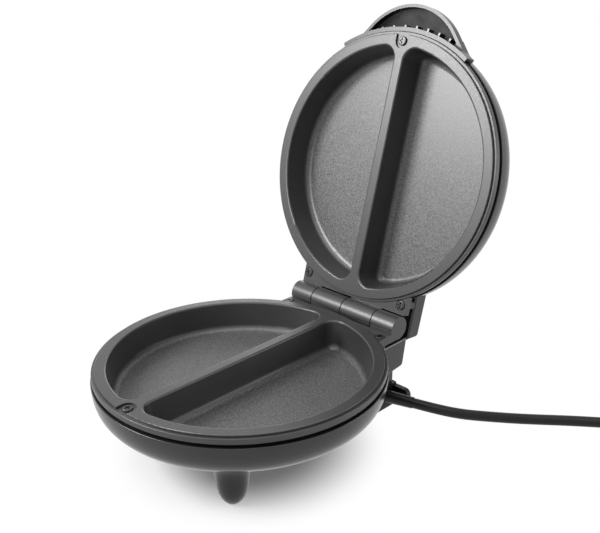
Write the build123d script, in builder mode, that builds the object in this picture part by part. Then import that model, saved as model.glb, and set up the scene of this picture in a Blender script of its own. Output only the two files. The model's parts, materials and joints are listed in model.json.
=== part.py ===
from build123d import *
import os
from math import atan2, cos, degrees, pi, radians, sin, sqrt, tan

# Electric omelette maker: two round cast plates with half-moon wells, each in its own
# plastic casing, hinged at the back and shown with the lid open against its stop.
# Each half is modelled in its own frame: the plate's centre on the plane where the two
# plates meet, +Y towards the hinge, and the outside of that half downwards. The lid's
# half is turned over and swung open when it is put in place.

os.makedirs("parts", exist_ok=True)

# ---------------------------------------------------------------- driving dimensions (mm)

# Where the halves stand
mating_height = 67.0          # plane where the plates meet, above the table
plate_centre_y = -47.4        # centre of the base plate, from the middle of the footprint
open_angle = 105.6            # lid angle at its open stop

# Cast plates
plate_radius = 100.0          # outer edge, at the ledge
ledge_width = 2.1             # from the outer edge in to the raised cooking face
land_width = 7.9              # cooking face outside the wells
ledge_drop = 1.6              # ledge below the cooking face
rim_depth = 5.6               # lower edge of the plate's rim
plate_wall = 2.6              # casting thickness
well_depth = 21.7
divider_half_width = 4.0
well_corner_radius = 10.0
well_draft = 8.0              # degrees
well_floor_fillet = 5.0
well_lip_fillet = 1.4
edge_round = 0.5              # outer edges of the cooking face, the ledge and both rims
pocket_radius = 5.6           # notch in the face for the front screw
front_screw_inset = 6.8       # from the plate's outer edge

# Hinge
hinge_reach = 9.4             # hinge axis behind the plate's outer edge
ear_half_width = 50.5
ear_drop = 2.3                # ear's face below the cooking face
ear_bottom = 8.5              # ear's underside
ear_gap = 0.7                 # between an ear's back edge and the knuckle that turns there
ear_root = 5.0                # ears start this far inside the plate's outer edge
knuckle_radius = 8.7
knuckle_split = 30.0          # knuckles meet here, and at the middle
knuckle_gap = 0.8             # side clearance between knuckles
hinge_pin_radius = 2.5
running_clearance = 0.06      # pin in its knuckles, on the radius
ear_screw_side = 4.5          # from the ear's side
ear_screw_inset = 7.0         # from the plate's outer edge
ear_pocket_radius = 4.0       # shallow pocket round each ear's screw
ear_pocket_depth = 0.8
pin_cover = 3.0               # metal over the pin's end in the base's outer knuckle

# Screws
screw_head_radius = 3.5
screw_head_height = 1.5       # both halves' front screws stay below the mating plane
screw_radius = 2.0
screw_length = 13.0
screw_hole_clearance = 0.15
screw_recess_width = 1.0      # arms of the cross recess
screw_recess_length = 4.2
screw_recess_depth = 0.9
boss_radius = 4.2

# Casings
casing_wall = 2.5
casing_overhang = 0.8         # casing's rim outside the plate's edge
seam_gap = 2.1                # dark groove between plate and casing
shoulder_width = 38.0         # from the rim in to the flat bottom
casing_fullness = 0.745       # how square the shoulder is, 0.55 is an ellipse
spigot_clearance = 0.4        # casing's lip inside the plate's rim
spigot_wall = 2.0
box_rear_reach = 20.0         # rear box, back wall behind the plate's edge at the base box's top
box_rear_slope = 0.174        # back wall leans in by this much per mm
box_front_inset = 30.0
base_box_top = 10.7
base_box_rise = 2.9           # base box's floor above the casing's flat bottom
lid_box_top = 13.7
lid_box_rise = 8.4
box_edge_fillet = 1.6
box_corner_radius = 3.0       # lower back corner of the box
box_front_drop = 2.9          # box floor is this much lower where it meets the bowl

# Rear leg and foot
neck_half_width = 45.2
neck_inset = 11.0             # neck's front, inside the plate's outer edge
neck_reach = 11.0             # neck's back, behind the plate's outer edge
foot_height = 19.5            # above the table
foot_half_width = 46.0
foot_inset = 13.0
foot_reach = 15.0
foot_wall = 2.6
foot_edge_radius = 3.0
sole_edge_radius = 1.2
foot_screw_x = 14.0
foot_screw_length = 10.0
foot_boss_height = 6.0
foot_access_radius = 4.3      # holes in the sole for the screwdriver
wire_hole_radius = 5.0
wire_hole_x = 30.0
wing_reach = 14.0             # cord-wrap wings beside the foot
wing_thickness = 2.4
wing_top_height = 18.0        # above the table
wing_bottom_height = 3.5
wing_corner_radius = 4.5
wing_rim = 1.7
wing_rim_depth = 1.6

# Front legs
leg_spread = 42.4             # degrees either side of the front
leg_inset = 31.1              # leg's axis, inside the plate's outer edge
leg_top_radius = 14.2
leg_knee_radius = 10.9
leg_ankle_radius = 8.7
leg_knee_height = 20.0        # above the table
leg_ankle_height = 6.6
leg_sole_radius = 4.7
leg_bury = 6.0                # how far the leg's blank reaches above the bowl's floor
leg_screw_length = 12.0
leg_boss_radius = 4.6
leg_boss_height = 1.7         # above the casing's flat floor inside
pad_height = 0.5              # rubber pads stand proud by this much
pad_recess = 1.2
pad_radius = 2.6
pad_clearance = 0.1
foot_pad_x = 31.0
foot_pad_length = 22.0
foot_pad_width = 9.0

# Lid handle
visor_nose_radius = 50.0
visor_overhang = 21.0         # front of the handle beyond the plate's outer edge
visor_spread = 50.0           # half angle of the round nose
visor_root_x = 83.0           # its straight sides end here, inside the casing
visor_rim = 8.6               # mating side of the handle
visor_edge = 7.0              # depth of its outer wall
visor_slope = 35.0            # degrees, its back rises from the wall
visor_rise = 3.9              # handle's back above the casing's flat bottom
visor_wall = 2.3
visor_round = 3.0             # where the wall meets the sloping back
curved_seat_gap = 0.2         # between two mouldings that seat on a curved face
collar_top = 2.6              # collar along the plate's edge, below the mating plane
collar_thickness = 3.0
collar_end = 33.0             # degrees either side of the front
lug_gap = 0.3                 # between the collar and the plate's outer edge
lug_start = 23.0              # blocks for the screws, degrees either side of the front
handle_screw_turn = 27.0
handle_screw_drop = 12.1      # below the mating plane
handle_screw_length = 7.5
handle_pad_radius = 4.2
handle_pad_inset = 5.0        # the screws' heads bear here, inside the plate's outer edge
handle_pad_length = 2.8       # ends inside the casing's wall
fin_count = 8
fin_pitch = 5.7               # degrees
fin_thickness = 1.5
fin_reach = 5.5
fin_height = 6.6

# Heating and wiring inside
heater_route = ((0.22, 0.74), (0.22, 0.54), (0.56, 0.32), (0.63, -0.18), (0.30, -0.56))
heater_radius = 3.2
heater_seat = 0.1
heater_bend = 15.0
heater_pin_radius = 1.6
heater_pin_length = 2.0
clip_wall = 1.0
clip_length = 7.0
reflector_inset = 2.0         # inside the casing's flat floor
reflector_gap = 0.2           # under the heater's clips
reflector_thickness = 0.8
lamp_bay_half_width = 16.0    # reflector is cut away round the lamps
lamp_bay_reach = 22.0
lamp_outset = 8.0             # outside the casing's flat floor
lamp_spacing = 16.0
lens_radius = 2.6
lens_height = 1.1
lens_clearance = 0.15
lens_seat = 1.0               # lens reaches this far inside the casing's floor
lamp_radius = 1.9
lamp_length = 6.0
wire_radius = 1.2
wire_bend = 3.0
wire_clearance = 1.5          # under the wells
wires_inset = 22.0            # wires turn up towards the box here, inside the plate's outer edge
lamp_wire_route = ((0.62, -0.44), (0.76, 0.0), (0.68, 0.42), (0.46, 0.66), (0.29, 0.79))
lamp_wire_x = 34.0
fuse_wire_x = 13.0
thermostat_wire_x = 9.0
pin_lead = 5.0                # straight runs of wire before a bend
block_lead = 3.5
core_lead = 9.0
core_drop = 10.4
core_shift = 1.0
core_radius = 2.9             # the cord's sheath inside the foot
core_bend = 5.0
door_inset = 8.0              # wires rise between the wells and the box here
door_rise = 1.8
door_shift = 5.0
thermostat_radius = 8.0
thermostat_height = 5.4
bracket_thickness = 1.0
bracket_width = 12.0
bracket_half_length = 20.0
thermostat_y = 22.0
fuse_y = -24.0
fuse_radius = 2.0
fuse_length = 13.0
terminal_length = 30.0
terminal_width = 11.0
terminal_height = 7.5
terminal_reach = 4.0          # behind the plate's outer edge
terminal_screw_radius = 1.9
terminal_screw_depth = 1.5
terminal_pitch = 10.0
inner_pole_x = 5.0
outer_pole_x = 12.0

# Mains cord
cord_radius = 3.8
exit_inset = 12.6             # from the foot's back
exit_height = 12.5
exit_yaw = 15.0               # degrees, the cord leans to the back as it leaves
relief_length = 22.0
relief_base_radius = 4.9
relief_tip_radius = 4.25
relief_neck_radius = 3.9
relief_neck_length = 5.0
relief_flange_radius = 4.3
relief_flange_thickness = 1.4
cord_first_run = 17.3
tail_first_run = 19.0
bend_share = 0.45             # part of the shorter run that a bend takes
coil_sample_count = 600
coil_radius = 46.2            # centre line of the outermost turn
coil_pitch = 8.4              # from turn to turn, and from layer to layer
coil_layer_turns = 1.25
coil_climb_turns = 0.5
tie_turn = 0.17               # where along the coil the tie is
tie_thickness = 0.8
tie_width = 7.0
tie_clearance = 0.3
tie_side_clearance = 0.7
plug_radius = 18.4
plug_sleeve_length = 16.0
plug_sleeve_radius = 5.2
plug_tail_radius = 6.4
plug_shoulder = 14.0
plug_body_length = 36.0
plug_edge_radius = 2.5
plug_pin_radius = 2.4
plug_pin_length = 19.0
plug_pin_spacing = 19.0
plug_pin_tip = 1.2
floor_clearance = 0.1         # cord and plug lie this much above the table

snap = 0.01                   # edges this near to a height or radius are at it

# ---------------------------------------------------------------- sizes that follow from these

# Plates and hinge
face_radius = plate_radius - ledge_width
well_radius = face_radius - land_width
well_floor = well_depth + plate_wall          # underside of the wells
front_screw_y = front_screw_inset - plate_radius
hinge_y = plate_radius + hinge_reach
ear_end_y = hinge_y - knuckle_radius - ear_gap
ear_inner_radius = plate_radius - ear_root
ear_screw_x = ear_half_width - ear_screw_side
ear_screw_y = plate_radius - ear_screw_inset

# Casings
heater_depth = well_floor + heater_seat + heater_radius
reflector_top = heater_depth + heater_radius + heater_seat + clip_wall + reflector_gap
floor_inside = reflector_top + reflector_thickness
casing_top = rim_depth + seam_gap
casing_floor = floor_inside + casing_wall     # depth of the casing's flat bottom
casing_radius = plate_radius + casing_overhang
casing_floor_radius = plate_radius - shoulder_width
box_rear_y = plate_radius + box_rear_reach
box_front_y = plate_radius - box_front_inset
base_box_bottom = casing_floor - base_box_rise
lid_box_bottom = casing_floor - lid_box_rise

# Legs and foot
sole = mating_height - pad_height             # legs and foot end here, pads go on
neck_front_y = plate_radius - neck_inset
neck_rear_y = plate_radius + neck_reach
neck_middle = (neck_front_y + neck_rear_y) / 2
foot_top = mating_height - foot_height
foot_front_y = plate_radius - foot_inset
foot_rear_y = plate_radius + foot_reach
foot_middle = (foot_front_y + foot_rear_y) / 2
wing_half_width = foot_half_width + wing_reach
wing_top = mating_height - wing_top_height
wing_bottom = mating_height - wing_bottom_height
leg_x = (plate_radius - leg_inset) * sin(radians(leg_spread))
leg_y = -(plate_radius - leg_inset) * cos(radians(leg_spread))

# Handle
visor_reach = plate_radius + visor_overhang
visor_back = casing_floor - visor_rise
hollow_edge = visor_edge - visor_wall * tan(radians(45 - visor_slope / 2))
lug_inner_radius = plate_radius + lug_gap
handle_pad_seat = plate_radius - handle_pad_inset

# Inside
reflector_radius = casing_floor_radius - reflector_inset
lamp_y = -casing_floor_radius - lamp_outset
lamp_bay_y = lamp_y + lamp_bay_reach
lens_inside = floor_inside - lens_seat
wire_depth = well_floor + wire_clearance + wire_radius
wires_rear_y = plate_radius - wires_inset
door_radius = plate_radius - door_inset
door_depth = well_floor - door_rise
terminal_y = plate_radius + terminal_reach
exit_y = foot_rear_y - exit_inset


# ---------------------------------------------------------------- shared outlines

def level_edges(builder, height):
    """Edges that lie at one height."""
    return builder.edges().filter_by_position(Axis.Z, height - snap, height + snap)


def ring_edges(builder, radius, height):
    """Circular edges of one radius at one height."""
    circles = level_edges(builder, height).filter_by(GeomType.CIRCLE)
    return circles.filter_by(lambda edge: abs(edge.radius - radius) < snap)


def wells_outline(grow):
    """Both half-moon wells on the cooking face, grown outwards by a wall."""
    with BuildSketch() as outline:
        Circle(well_radius + grow)
        Rectangle(2 * (divider_half_width - grow), 2 * plate_radius, mode=Mode.SUBTRACT)
        fillet(outline.vertices(), well_corner_radius + grow)
    return outline.sketch


def bowl_section(inset):
    """Half section of a casing's bowl, from the rim to the flat floor."""
    rim = casing_radius - inset
    floor = casing_floor - inset
    floor_edge = casing_floor_radius - inset / 2
    drop = casing_fullness * (floor - casing_top)
    run = casing_fullness * (rim - floor_edge)
    with BuildSketch(Plane.XZ) as section:
        with BuildLine():
            Line((0, -casing_top), (rim, -casing_top))
            Bezier(
                (rim, -casing_top),
                (rim, -casing_top - drop),
                (floor_edge + run, -floor),
                (floor_edge, -floor),
            )
            Line((floor_edge, -floor), (0, -floor))
            Line((0, -floor), (0, -casing_top))
        make_face()
    return section.sketch


def box_section(top, bottom, front_drop, inset):
    """Side view of a casing's rear box, inset by a wall."""
    def rear(depth):
        return box_rear_y - box_rear_slope * (depth - base_box_top) - inset

    high = top + inset
    low = bottom - inset
    with BuildSketch(Plane.YZ) as section:
        with BuildLine():
            Polyline(
                (box_front_y, -high),
                (rear(high), -high),
                (rear(low), -low),
                (neck_front_y, -low - front_drop),
                (box_front_y, -low - front_drop),
                close=True,
            )
        make_face()
        lower_back = section.vertices().sort_by(lambda corner: corner.X - corner.Y)[-1]
        fillet(lower_back, box_corner_radius - inset)
    return section.sketch


def visor_outline(inset):
    """Handle seen from above: a round nose running straight back to the casing."""
    nose_centre = -visor_reach + visor_nose_radius
    spread = radians(visor_spread)
    root_run = (visor_root_x - visor_nose_radius * sin(spread)) * tan(spread)
    root_y = nose_centre - visor_nose_radius * cos(spread) + root_run - inset
    radius = visor_nose_radius - inset
    side = (radius * sin(spread), nose_centre - radius * cos(spread))
    root_x = side[0] + (root_y - side[1]) / tan(spread)
    with BuildSketch(Plane.XY.offset(-visor_rim)) as outline:
        with BuildLine():
            ThreePointArc((-side[0], side[1]), (0, nose_centre - radius), side)
            Line(side, (root_x, root_y))
            Line((root_x, root_y), (-root_x, root_y))
            Line((-root_x, root_y), (-side[0], side[1]))
        make_face()
    return outline.sketch


well_mouths = wells_outline(0)
well_walls = wells_outline(plate_wall)
bowl_outside = bowl_section(0)
bowl_middle = bowl_section(casing_wall / 2)
bowl_inside = bowl_section(casing_wall)
bowl_seat = bowl_section(-curved_seat_gap)
visor_outside = visor_outline(0)
visor_inside = visor_outline(visor_wall)


# ---------------------------------------------------------------- parts both halves share

def cast_plate(bore_end):
    """Non-stick cast plate with two wells, screw ears and its two hinge knuckles."""
    with BuildPart() as plate:
        with BuildSketch(Plane.XY.offset(-rim_depth)):
            Circle(plate_radius)
        extrude(amount=rim_depth - ledge_drop)
        with BuildSketch(Plane.XY.offset(-ledge_drop)):
            Circle(face_radius)
            with Locations((0, front_screw_y)):
                Circle(pocket_radius, mode=Mode.SUBTRACT)
            with Locations((0, front_screw_y - pocket_radius)):
                Rectangle(2 * pocket_radius, 2 * pocket_radius, mode=Mode.SUBTRACT)
        extrude(amount=ledge_drop)
        with BuildSketch(Plane.XY.offset(-rim_depth)):
            Circle(plate_radius - plate_wall)
        extrude(amount=rim_depth - ledge_drop - plate_wall, mode=Mode.SUBTRACT)

        # Ears, and the webs that carry this half's knuckles
        with BuildSketch(Plane.XY.offset(-ear_bottom)):
            with Locations((0, ear_end_y / 2)):
                Rectangle(2 * ear_half_width, ear_end_y)
            Circle(ear_inner_radius, mode=Mode.SUBTRACT)
        extrude(amount=ear_bottom - ear_drop)
        for low, high in ((-knuckle_split, 0), (knuckle_split, ear_half_width + knuckle_gap / 2)):
            near, far = low + knuckle_gap / 2, high - knuckle_gap / 2
            with BuildSketch(Plane.YZ.offset(near)):
                with Locations((hinge_y, 0)):
                    Circle(knuckle_radius)
                with Locations(((ear_end_y + hinge_y) / 2 - 1, -(ear_bottom + ear_drop) / 2)):
                    Rectangle(hinge_y - ear_end_y + 2, ear_bottom - ear_drop)
            extrude(amount=far - near)

        # Wells, cast as thin-walled cups
        extrude(well_walls, amount=-well_floor, taper=well_draft)
        fillet(plate.edges().group_by(Axis.Z)[0], well_floor_fillet + plate_wall)
        extrude(well_mouths, amount=-well_depth, taper=well_draft, mode=Mode.SUBTRACT)
        fillet(level_edges(plate, -well_depth), well_floor_fillet)
        lips = level_edges(plate, 0).filter_by(
            lambda edge: abs(edge.center().X) > divider_half_width / 2
            and sqrt(edge.center().X ** 2 + edge.center().Y ** 2) < well_radius + snap
        )
        fillet(lips, well_lip_fillet)

        # Outer edges of the face, the ledge and the rim
        outer_edges = ring_edges(plate, face_radius, 0) + ring_edges(plate, plate_radius, -ledge_drop)
        fillet(outer_edges + ring_edges(plate, plate_radius, -rim_depth), edge_round)

        # Bore for the hinge pin and holes for the screws
        with BuildSketch(Plane.YZ.offset(-ear_half_width)):
            with Locations((hinge_y, 0)):
                Circle(hinge_pin_radius + running_clearance)
        extrude(amount=ear_half_width + bore_end, mode=Mode.SUBTRACT)
        with BuildSketch(Plane.XY.offset(-ear_drop)):
            with Locations((-ear_screw_x, ear_screw_y), (ear_screw_x, ear_screw_y)):
                Circle(ear_pocket_radius)
        extrude(amount=-ear_pocket_depth, mode=Mode.SUBTRACT)
        with Locations((0, front_screw_y), (-ear_screw_x, ear_screw_y), (ear_screw_x, ear_screw_y)):
            Hole(screw_radius + screw_hole_clearance)
    return plate


def pan_head_screw(length):
    """One screw standing on its seat, with a cross recess in its head."""
    with BuildPart() as screw:
        with BuildSketch():
            Circle(screw_head_radius)
        extrude(amount=screw_head_height)
        fillet(screw.edges().group_by(Axis.Z)[-1], screw_head_height / 2)
        with BuildSketch():
            Circle(screw_radius)
        extrude(amount=-length)
        with BuildSketch(Plane.XY.offset(screw_head_height)):
            Rectangle(screw_recess_length, screw_recess_width)
            Rectangle(screw_recess_width, screw_recess_length)
        extrude(amount=-screw_recess_depth, mode=Mode.SUBTRACT)
    return screw.part


def plate_screws():
    """The three screws that hold a plate: one at the front and one in each ear."""
    screw = pan_head_screw(screw_length)
    seats = (
        (0, front_screw_y, -ledge_drop),
        (-ear_screw_x, ear_screw_y, -ear_drop - ear_pocket_depth),
        (ear_screw_x, ear_screw_y, -ear_drop - ear_pocket_depth),
    )
    with BuildPart() as screws:
        for seat in seats:
            add(screw.moved(Location(seat)))
    return screws


def casing_shell(box_top, box_bottom, front_drop):
    """Hollow bowl with a rear box, a lip inside the plate's rim and screw bosses."""
    box_outside = box_section(box_top, box_bottom, front_drop, 0)
    box_inside = box_section(box_top, box_bottom, front_drop, casing_wall)
    with BuildPart() as box:
        extrude(box_outside, amount=ear_half_width, both=True)
        upright = box.edges().filter_by(lambda edge: edge.center().Y > neck_front_y)
        fillet(upright.filter_by(Axis.X, reverse=True), box_edge_fillet)
    with BuildPart() as shell:
        revolve(bowl_outside, axis=Axis.Z)
        add(box)
        revolve(bowl_inside, axis=Axis.Z, mode=Mode.SUBTRACT)
        extrude(box_inside, amount=ear_half_width - casing_wall, both=True, mode=Mode.SUBTRACT)

        # Lip that stands inside the plate's rim
        lip_radius = plate_radius - plate_wall - spigot_clearance
        lip_top = ledge_drop + plate_wall + spigot_clearance
        with BuildSketch(Plane.XY.offset(-casing_top - casing_wall)):
            Circle(plate_radius - casing_wall / 2)
            Circle(lip_radius - spigot_wall, mode=Mode.SUBTRACT)
        extrude(amount=casing_wall)
        with BuildSketch(Plane.XY.offset(-casing_top)):
            Circle(lip_radius)
            Circle(lip_radius - spigot_wall, mode=Mode.SUBTRACT)
        extrude(amount=casing_top - lip_top)

        # Rim cut away where the plate's ears reach back over it
        with BuildSketch(Plane.XY.offset(-ear_bottom - spigot_clearance)):
            with Locations((0, (box_front_y + box_rear_y) / 2)):
                Rectangle(2 * (ear_half_width + spigot_clearance), box_rear_y - box_front_y)
        extrude(amount=ear_bottom, mode=Mode.SUBTRACT)

        fillet(ring_edges(shell, casing_radius, -casing_top), edge_round)

        # Bosses under the plate's screws
        with BuildSketch(Plane.XY.offset(-ledge_drop - plate_wall)):
            with Locations((0, front_screw_y)):
                Circle(boss_radius - spigot_clearance)
        extrude(amount=-screw_length - casing_wall)
        with BuildSketch(Plane.XY.offset(-ear_bottom)):
            with Locations((-ear_screw_x, ear_screw_y), (ear_screw_x, ear_screw_y)):
                Circle(boss_radius)
        extrude(amount=-screw_length)
        bores = ((0, front_screw_y), (-ear_screw_x, ear_screw_y), (ear_screw_x, ear_screw_y))
        with BuildSketch(Plane.XY.offset(-ledge_drop)):
            with Locations(*bores):
                Circle(screw_radius + screw_hole_clearance)
        extrude(amount=-screw_length - ear_drop, mode=Mode.SUBTRACT)
    return shell


def swept_tube(points, radius, bend):
    """Round tube along straight runs joined by tangent arcs."""
    with BuildPart() as tube:
        with BuildLine():
            path = FilletPolyline(*points, radius=bend)
        with BuildSketch(Plane(origin=path @ 0, z_dir=path % 0)):
            Circle(radius)
        sweep(path=path)
    return tube


def under_wells(shares, depth):
    """Route given as shares of the plate's radius, at one depth."""
    return [Vector(x * plate_radius, y * plate_radius, -depth) for x, y in shares]


heater_right = under_wells(heater_route, heater_depth)
heater_left = [Vector(-point.X, point.Y, point.Z) for point in heater_right]


def heating_element():
    """Tubular heater bent under both wells, its two ends at the hinge side."""
    tube = swept_tube(heater_right + heater_left[::-1], heater_radius, heater_bend)
    with BuildPart() as heater:
        add(tube)
        for end in (heater_right[0], heater_left[0]):
            with BuildSketch(Plane(origin=end, z_dir=(0, 1, 0))):
                Circle(heater_pin_radius)
            extrude(amount=heater_pin_length)
    return heater


def heater_clips():
    """Sheet saddles that hold the heater up against the wells."""
    height = 2 * (heater_seat + heater_radius)
    half_width = heater_radius + heater_seat + clip_wall
    with BuildPart() as clips:
        for route in (heater_right, heater_left):
            for start, end in ((route[0], route[1]), (route[2], route[3]), (route[3], route[4])):
                middle = (start + end) / 2
                seat = Plane(
                    origin=(middle.X, middle.Y, -well_floor), x_dir=end - start, z_dir=(0, 0, -1)
                )
                with BuildSketch(seat):
                    Rectangle(clip_length, 2 * half_width)
                extrude(amount=height + clip_wall)
                with BuildSketch(seat):
                    Rectangle(clip_length, 2 * (half_width - clip_wall))
                extrude(amount=height, mode=Mode.SUBTRACT)
    return clips


def heat_reflector():
    """Sheet disc on the casing's floor under the heater."""
    with BuildPart() as reflector:
        with BuildSketch(Plane.XY.offset(-floor_inside)):
            Circle(reflector_radius)
        extrude(amount=reflector_thickness)
    return reflector


def terminal_block(box_top):
    """Three-way block that hangs under the rear box's roof."""
    with BuildPart() as block:
        with BuildSketch(Plane.XY.offset(-box_top - casing_wall)):
            with Locations((0, terminal_y)):
                Rectangle(terminal_length, terminal_width)
        extrude(amount=-terminal_height)
        with BuildSketch(Plane.XZ.offset(-terminal_y - terminal_width / 2)):
            with Locations((0, -box_top - casing_wall - terminal_height / 2)):
                with GridLocations(terminal_pitch, 0, 3, 1):
                    Circle(terminal_screw_radius)
        extrude(amount=terminal_screw_depth, mode=Mode.SUBTRACT)
    return block


def lead_to_block(lead_route, side, block_x, box_top):
    """Wire that rises between the wells and the rear box and ends at the block."""
    block_z = -box_top - casing_wall - terminal_height / 2
    block_front = terminal_y - terminal_width / 2
    door_x = block_x + door_shift
    route = (
        *lead_route,
        (side * door_x, sqrt(door_radius ** 2 - door_x ** 2), -door_depth),
        (side * block_x, block_front - block_lead, block_z),
        (side * block_x, block_front, block_z),
    )
    return swept_tube(route, wire_radius, wire_bend)


def heater_leads(block_x, box_top):
    """Leads from the heater's two pins to the terminal block."""
    with BuildPart() as leads:
        for side in (-1, 1):
            pin_end = (side * heater_right[0].X, heater_right[0].Y + heater_pin_length, -heater_depth)
            bend_point = (pin_end[0], pin_end[1] + pin_lead, -heater_depth)
            add(lead_to_block((pin_end, bend_point), side, block_x, box_top))
    return leads


# ---------------------------------------------------------------- base

with BuildPart() as base_casing:
    add(casing_shell(base_box_top, base_box_bottom, box_front_drop))

    # Neck down to the rear foot, closed by a floor
    neck_depth = neck_rear_y - neck_front_y
    with BuildSketch(Plane.XY.offset(-foot_top)):
        with Locations((0, neck_middle)):
            Rectangle(2 * neck_half_width, neck_depth)
    extrude(amount=foot_top - base_box_bottom)
    with BuildSketch(Plane.XY.offset(-foot_top + casing_wall)):
        with Locations((0, neck_middle)):
            Rectangle(2 * (neck_half_width - casing_wall), neck_depth - 2 * casing_wall)
    extrude(amount=foot_top - base_box_bottom + box_front_drop, mode=Mode.SUBTRACT)
    with BuildSketch(Plane.XY.offset(-foot_top + casing_wall)):
        with Locations((-foot_screw_x, neck_middle), (foot_screw_x, neck_middle)):
            Circle(boss_radius)
    extrude(amount=foot_boss_height)
    with BuildSketch(Plane.XY.offset(-foot_top)):
        with Locations((-foot_screw_x, neck_middle), (foot_screw_x, neck_middle)):
            Circle(screw_radius + screw_hole_clearance)
    extrude(amount=foot_screw_length, mode=Mode.SUBTRACT)
    with BuildSketch(Plane.XY.offset(-foot_top)):
        with Locations((wire_hole_x, neck_middle)):
            Circle(wire_hole_radius)
    extrude(amount=casing_wall, mode=Mode.SUBTRACT)

    # Seats and holes for the front legs' screws
    leg_seat = floor_inside - leg_boss_height
    with BuildSketch(Plane.XY.offset(-leg_seat)):
        with Locations((-leg_x, leg_y), (leg_x, leg_y)):
            Circle(leg_boss_radius)
    extrude(amount=-leg_boss_height - casing_wall / 2)
    with BuildSketch(Plane.XY.offset(-leg_seat)):
        with Locations((-leg_x, leg_y), (leg_x, leg_y)):
            Circle(screw_radius + screw_hole_clearance)
    extrude(amount=-casing_floor, mode=Mode.SUBTRACT)

base_plate = cast_plate(ear_half_width - pin_cover)
base_plate_screws = plate_screws()
base_heater = heating_element()
base_heater_clips = heater_clips()
base_reflector = heat_reflector()
base_terminal_block = terminal_block(base_box_top)


def front_leg(side):
    """Tapered leg with a rounded toe, its top cut to the bowl's shape."""
    toe = side * leg_x
    with BuildPart() as leg:
        with BuildSketch(Plane.XZ.offset(-leg_y)):
            with BuildLine():
                Line((toe, -sole), (toe + leg_sole_radius, -sole))
                Spline(
                    (toe + leg_sole_radius, -sole),
                    (toe + leg_ankle_radius, -mating_height + leg_ankle_height),
                    (toe + leg_knee_radius, -mating_height + leg_knee_height),
                    (toe + leg_top_radius, -casing_floor),
                )
                Line((toe + leg_top_radius, -casing_floor), (toe + leg_top_radius, leg_bury - casing_floor))
                Line((toe + leg_top_radius, leg_bury - casing_floor), (toe, leg_bury - casing_floor))
                Line((toe, leg_bury - casing_floor), (toe, -sole))
            make_face()
        revolve(axis=Axis((toe, leg_y, 0), (0, 0, 1)))
        revolve(bowl_seat, axis=Axis.Z, mode=Mode.SUBTRACT)
        with BuildSketch(Plane.XY.offset(-sole)):
            with Locations((toe, leg_y)):
                Circle(pad_radius + pad_clearance)
        extrude(amount=pad_recess, mode=Mode.SUBTRACT)
        with BuildSketch(Plane.XY.offset(-leg_seat)):
            with Locations((toe, leg_y)):
                Circle(screw_radius + screw_hole_clearance)
        extrude(amount=-leg_screw_length - casing_wall, mode=Mode.SUBTRACT)
    return leg


front_leg_left = front_leg(-1)
front_leg_right = front_leg(1)

with BuildPart() as leg_screws:
    for seat_x in (-leg_x, leg_x):
        add(pan_head_screw(leg_screw_length).moved(Location((seat_x, leg_y, -leg_seat))))

exit_direction = Vector(1, 0, 0).rotate(Axis.Z, exit_yaw)
exit_point = Vector(foot_half_width, exit_y, exit_height)
gland_point = exit_point - Vector(0, 0, mating_height)

with BuildPart() as rear_foot:
    foot_depth = foot_rear_y - foot_front_y
    with BuildSketch(Plane.XY.offset(-sole)):
        with Locations((0, foot_middle)):
            Rectangle(2 * foot_half_width, foot_depth)
    extrude(amount=sole - foot_top)
    front_edges = rear_foot.edges().filter_by(Axis.Z).group_by(Axis.Y)[0]
    fillet(front_edges, foot_edge_radius)
    fillet(rear_foot.edges().group_by(Axis.Z)[0], sole_edge_radius)

    # Cord-wrap wings with a raised rim
    wing_height = wing_bottom - wing_top
    wing_centre = (0, -(wing_top + wing_bottom) / 2)
    with BuildSketch(Plane.XZ.offset(-foot_rear_y)):
        with Locations(wing_centre):
            RectangleRounded(2 * wing_half_width, wing_height, wing_corner_radius)
    extrude(amount=wing_thickness)
    with BuildSketch(Plane.XZ.offset(-foot_rear_y + wing_thickness)):
        with Locations(wing_centre):
            RectangleRounded(2 * wing_half_width, wing_height, wing_corner_radius)
            RectangleRounded(
                2 * (wing_half_width - wing_rim),
                wing_height - 2 * wing_rim,
                wing_corner_radius - wing_rim,
                mode=Mode.SUBTRACT,
            )
    extrude(amount=wing_rim_depth)

    # Hollow inside, with holes for the screws, the wires, the cord and the pads
    with BuildSketch(Plane.XY.offset(-sole + foot_wall)):
        with Locations((0, foot_middle)):
            Rectangle(2 * (foot_half_width - foot_wall), foot_depth - 2 * foot_wall)
    extrude(amount=sole - foot_top - 2 * foot_wall, mode=Mode.SUBTRACT)
    with BuildSketch(Plane.XY.offset(-foot_top)):
        with Locations((-foot_screw_x, neck_middle), (foot_screw_x, neck_middle)):
            Circle(screw_radius + screw_hole_clearance)
        with Locations((wire_hole_x, neck_middle)):
            Circle(wire_hole_radius)
    extrude(amount=-foot_wall, mode=Mode.SUBTRACT)
    with BuildSketch(Plane.XY.offset(-sole)):
        with Locations((-foot_screw_x, neck_middle), (foot_screw_x, neck_middle)):
            Circle(foot_access_radius)
    extrude(amount=foot_wall, mode=Mode.SUBTRACT)
    with BuildSketch(Plane.XY.offset(-sole)):
        with Locations((-foot_pad_x, foot_middle), (foot_pad_x, foot_middle)):
            Rectangle(foot_pad_length + 2 * pad_clearance, foot_pad_width + 2 * pad_clearance)
    extrude(amount=pad_recess, mode=Mode.SUBTRACT)
    with BuildSketch(Plane(origin=gland_point, z_dir=exit_direction)):
        Circle(relief_neck_radius + screw_hole_clearance)
    extrude(amount=relief_neck_length, both=True, mode=Mode.SUBTRACT)

with BuildPart() as rear_foot_screws:
    for seat_x in (-foot_screw_x, foot_screw_x):
        seat = Location((seat_x, neck_middle, -foot_top - foot_wall), (180, 0, 0))
        add(pan_head_screw(foot_screw_length).moved(seat))

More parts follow.
